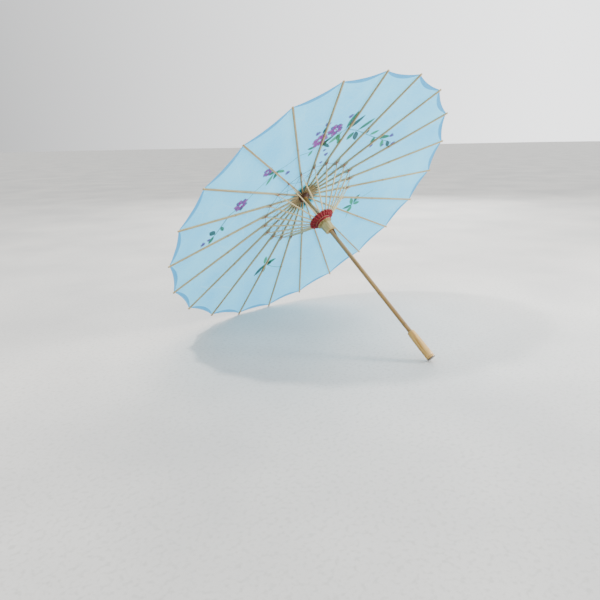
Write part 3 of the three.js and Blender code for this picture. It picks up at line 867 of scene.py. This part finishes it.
def strip_blank(i, strokes):
    """The cloth over one rib, from the middle of one gore to the middle of the next, with its hem."""
    turn = i * PITCH
    local = []
    for mark in strokes:
        start, end = mark["start"].copy(), mark["end"].copy()
        for end_point in (start, end):
            end_point.rotate(Matrix.Rotation(-turn, 2))
        local.append({**mark, "start": start, "end": end})
    bm = bmesh.new()
    bmesh.ops.create_grid(bm, x_segments=60, y_segments=16, size=0.5)
    for vert in bm.verts:
        vert.co = (vert.co.x + 0.5, vert.co.y * 2, 0)

    def on_canopy(co):
        return cloth_point(co.x, co.y, 0, turn)[0].to_2d()

    half_gore = CLOTH_EDGE * math.tan(PITCH / 2)
    local = [mark for mark in local if mark["start"].x > 0 and abs(mark["start"].y) < half_gore + 40]
    middles = [(f, on_canopy(f.calc_center_median())) for f in bm.faces]
    near = [f for f, middle in middles if any(is_near(mark, middle, 3.5) for mark in local)]
    if near:
        edges = list({e for f in near for e in f.edges})
        bmesh.ops.subdivide_edges(bm, edges=edges, cuts=5, use_grid_fill=True)
    rim = [e for e in bm.edges if all(v.co.x > 1 - 1e-4 for v in e.verts)]
    folds = {}
    for fold in range(1, len(FOLD)):
        extruded = bmesh.ops.extrude_edge_only(bm, edges=rim)["geom"]
        verts = {item for item in extruded if isinstance(item, bmesh.types.BMVert)}
        rim = [e for e in extruded if isinstance(e, bmesh.types.BMEdge) and all(v in verts for v in e.verts)]
        folds.update({vert: fold for vert in verts})
    paint = bm.verts.layers.float_color.new("paint")
    hem = bm.verts.layers.float_vector.new("hem")
    for vert in bm.verts:
        fold = folds.get(vert, 0)
        vert.co, inside_hem = cloth_point(vert.co.x, vert.co.y, fold, turn)
        vert[hem] = (inside_hem, 0, 0)
        vert[paint] = (0, 0, 0, 0) if fold > 1 else painted(local, vert.co.to_2d())
    bmesh.ops.recalc_face_normals(bm, faces=bm.faces)
    if sum(f.normal.z for f in bm.faces if f.calc_center_median().x < 300) < 0:
        bmesh.ops.reverse_faces(bm, faces=bm.faces)
    return bm


def make_canopy(cloth):
    """Each strip is glued to its rib and meets the next ones in the middle of its gores."""
    strokes = painted_sprays()
    for i, number in enumerate(NUMBERS):
        name, body, grain = f"canopy_strip_{number}", f"rib_{number}", Matrix.Rotation(i * PITCH, 4, "Z")
        blank = strip_blank(i, strokes)
        strip = piece(name, blank, SECTORS[i], body, cloth, smooth=60, grain=grain)
        if i == 0:
            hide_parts("canopy")
        gather(strip)


def cap_petal():
    """The part of the crown cap over one rib."""
    bm = bmesh.new()
    bmesh.ops.create_grid(bm, x_segments=8, y_segments=6, size=0.5)
    for vert in bm.verts:
        share, across = vert.co.x + 0.5, vert.co.y * 2
        along = CAP_SEAT + share * (CAP_EDGE - CAP_SEAT)
        flat = off_axis(along, across * PITCH / 2)
        on_canopy = rib_crest(along) + CLOTH_LIFT + 0.35
        over_head = 5.5 - (along - CAP_SEAT) * 0.9
        vert.co = (flat.x, flat.y, max(on_canopy, over_head))
    bmesh.ops.recalc_face_normals(bm, faces=bm.faces)
    bmesh.ops.solidify(bm, geom=bm.verts[:] + bm.edges[:] + bm.faces[:], thickness=0.4)
    bmesh.ops.recalc_face_normals(bm, faces=bm.faces)
    return bm


def make_crown_cap(cloth):
    """A ring of cloth on the head, and a petal on each rib that folds down with it."""
    petal = cap_petal()
    for i, number in enumerate(NUMBERS):
        name, body = f"cap_petal_{number}", f"rib_{number}"
        made = piece(name, petal.copy(), SECTORS[i], body, cloth, number=i)
        gather(made)
    section = [(6.2, 5.35), (11, 5.4), (CAP_SEAT, 5.35), (CAP_SEAT, 5.8), (11, 5.85), (6.2, 5.8)]
    middle = turned(section, closed=True)
    top = piece("cap_middle", middle, AXIS, "root", cloth, replaces=["crown_cap"])


# ------------------------------------------------------------------ turned and carved pieces
def cane_blank(slot_place):
    """The cane with its low nodes and the slot that the catch is set in."""
    r, foot = SHAFT_RADIUS, HANDLE_BORE_Z + 1
    profile = [(0, foot), (r, foot)]
    for level in reversed(CANE_NODES):
        profile += [
            (r, level - 4), (r + 0.12, level - 1.6), (r + 0.32, level - 0.8), (r + 0.05, level),
            (r + 0.38, level + 0.8), (r + 0.15, level + 2), (r, level + 4),
        ]
    profile += [(r, 21), (0, 21)]
    slot = block((12, 3, 32), (6.8, 0, NECK_LOW_Z - 14.2))
    bmesh.ops.transform(slot, matrix=slot_place, verts=slot.verts)
    return cut(turned(profile, steps=48), slot)


def handle_blank():
    """Turned: a chamfered foot, a groove above it, a long swell and a rounded shoulder."""
    z = HANDLE_END_Z
    groove = z + HANDLE_GROOVE
    profile = [
        (0, z), (8.6, z), (9, z + 0.05), (9.7, z + 0.6), (10, z + 1.2), (10, groove - 1.3), (9.75, groove - 0.7),
        (9.35, groove), (9.7, groove + 0.7), (10, groove + 1.4), (10, z + 20), (9.95, z + 34), (9.8, z + 48),
        (9.5, z + 60), (9.2, z + 70), (9, z + 74), (8.6, z + 76.6), (7.8, z + HANDLE_LENGTH),
        (5.6, z + HANDLE_LENGTH), (5.5, HANDLE_BORE_Z), (0, HANDLE_BORE_Z),
    ]
    return turned(profile, steps=72)


def head_blank():
    """The slotted head: every rib swings in its own slot on the wire."""
    bm = turned([(5.5, -8), (13.2, -8), (15, -6.2), (15, 4.2), (14.2, 5), (5.5, 5)], steps=88, closed=True)
    groove = turned([(11.3, -0.7), (20, -0.7), (20, 0.7), (11.3, 0.7)], steps=88, closed=True)
    slots = all_round(block((20, 2.1, 30), (19.9, 0, -12.9)))
    return cut(cut(bm, slots), groove)


def runner_blank():
    """The sliding head: a slotted flange over a tapering neck."""
    z = RUNNER_Z
    bm = turned(
        [
            (6.2, z - 32), (11.9, z - 32), (12.9, z - 31.6), (13.4, z - 30.6), (14.2, z - 20), (15.2, z - 7.2),
            (16, z - 6.4), (18.7, z - 6), (19.4, z - 5.2), (19.5, z + 2.4), (18.6, z + 3.5), (6.2, z + 3.5),
        ],
        steps=88,
        closed=True,
    )
    groove = turned([(14.2, z - 0.7), (25, z - 0.7), (25, z + 0.7), (14.2, z + 0.7)], steps=88, closed=True)
    slots = all_round(block((20, 2.6, 20), (22.9, 0, z - 1.5)))
    return cut(cut(bm, slots), groove)


def finial_blank():
    """The tip over the cane's end: a collar, a waist and a long rounded point."""
    return turned(
        [
            (5.6, 6.5), (7.9, 6.5), (8.5, 7.1), (8.5, 8.2), (7.9, 8.9), (7.1, 9.4), (6.9, 10.6), (7.3, 14), (7.2, 18),
            (6.4, 23), (5.9, 27), (5.4, 33), (4.4, 37), (2.6, 38.2), (0, 38.4), (0, 22), (5.6, 22),
        ],
        steps=56,
    )


def catch_blank():
    """A carved leaf, thin at its foot, with a square shoulder that the runner rests on."""
    bm = bmesh.new()
    foot = 3.4
    outline = [(-0.8, 0.2), (-0.3, -0.7), (0.5, -0.6), (1.4, 3), (5.6, 24.6), (5.6, 27), (1.2, 27), (0.2, 12)]
    face = bm.faces.new([bm.verts.new((foot + x, -1.2, NECK_LOW_Z - 27.5 + z)) for x, z in outline])
    grown = bmesh.ops.extrude_face_region(bm, geom=[face])["geom"]
    bmesh.ops.translate(bm, vec=(0, 2.4, 0), verts=[v for v in grown if isinstance(v, bmesh.types.BMVert)])
    bmesh.ops.recalc_face_normals(bm, faces=bm.faces)
    return soften(bm, 0.25, segments=2)


def make_turned_pieces(materials):
    """What sits on the axis. The tie wires keep their shape and get their brass."""
    low, high = (Vector(corner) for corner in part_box("catch"))
    catch_place = upright((low + high) / 2)
    slot_place = AXIS.inverted() @ catch_place
    piece("bamboo_cane", cane_blank(slot_place), AXIS, "root", materials["cane"], ["shaft"])
    piece("turned_handle", handle_blank(), AXIS, "root", materials["handle"], ["handle"])
    head, runner = soften(head_blank(), 0.12, 1, 50), soften(runner_blank(), 0.15, 1, 50)
    piece("turned_head", head, AXIS, "root", materials["head"], ["top_notch"])
    piece("sliding_runner", runner, AXIS, "runner", materials["runner"], ["runner"])
    finial, lacquer = finial_blank(), materials["finial"]
    piece("lacquered_finial", finial, AXIS, "root", lacquer, ["finial"], smooth=50)
    piece("catch_leaf", catch_blank(), catch_place, "catch", materials["catch"], ["catch"])
    for name in ("top_tie_wire", "runner_tie_wire"):
        wire = frame["nodes"][name]
        wire.data.materials.clear()
        wire.data.materials.append(materials["wire"])


# ------------------------------------------------------------------ the scene
viewing_camera()
world = bpy.data.worlds.new("studio")
bpy.context.scene.world = world
world.use_nodes = True
sky = world.node_tree
to_right = node(sky, "ShaderNodeTexCoord").outputs["Generated"]
to_right = node(sky, "ShaderNodeVectorMath", {0: to_right, 1: (0.72, -0.69, 0.1)}, operation="DOT_PRODUCT")
brightness = spread(sky, to_right.outputs["Value"], -0.7, 0.4, 0.3, 3.0)
sky.links.new(brightness.outputs["Result"], sky.nodes["Background"].inputs["Strength"])
sky.nodes["Background"].inputs["Color"].default_value = srgb("#F4F5F6")
light("key_above", "AREA", (-0.65, 0.44, 2.3), 48, size=0.16)
light("soft_behind_right", "AREA", (2.6, 1.9, 1.7), 130, size=2.0)
light("fill_right", "AREA", (1.25, -1.3, 0.8), 42, size=0.35)

floor_bm = bmesh.new()
bmesh.ops.create_grid(floor_bm, x_segments=1, y_segments=1, size=60)
floor_mesh = bpy.data.meshes.new("floor")
floor_bm.to_mesh(floor_mesh)
floor_bm.free()
floor_mesh.materials.append(smooth_concrete())
floor = bpy.data.objects.new("floor", floor_mesh)
bpy.context.collection.objects.link(floor)

make_ribs(split_bamboo(), thin_bamboo())
make_canopy(sheer_dyed_cloth())
make_crown_cap(teal_cloth())
make_threads(
    cotton_thread("waxed_cotton_thread_orange_brown", "#7A3A28", "#C97856"),
    cotton_thread("waxed_cotton_thread_plum", "#1E1830", "#453A60"),
    cotton_thread("cotton_thread_dyed_red", "#4E000A", "#A80A1C", lay=1.6),
)
make_turned_pieces(
    {
        "cane": varnished_cane(),
        "handle": lacquered_wood(),
        "head": stained_wood(),
        "runner": cream_wood(),
        "finial": black_lacquer(),
        "catch": stained_wood("carved_bamboo_dark_stain"),
        "wire": drawn_brass(),
    }
)
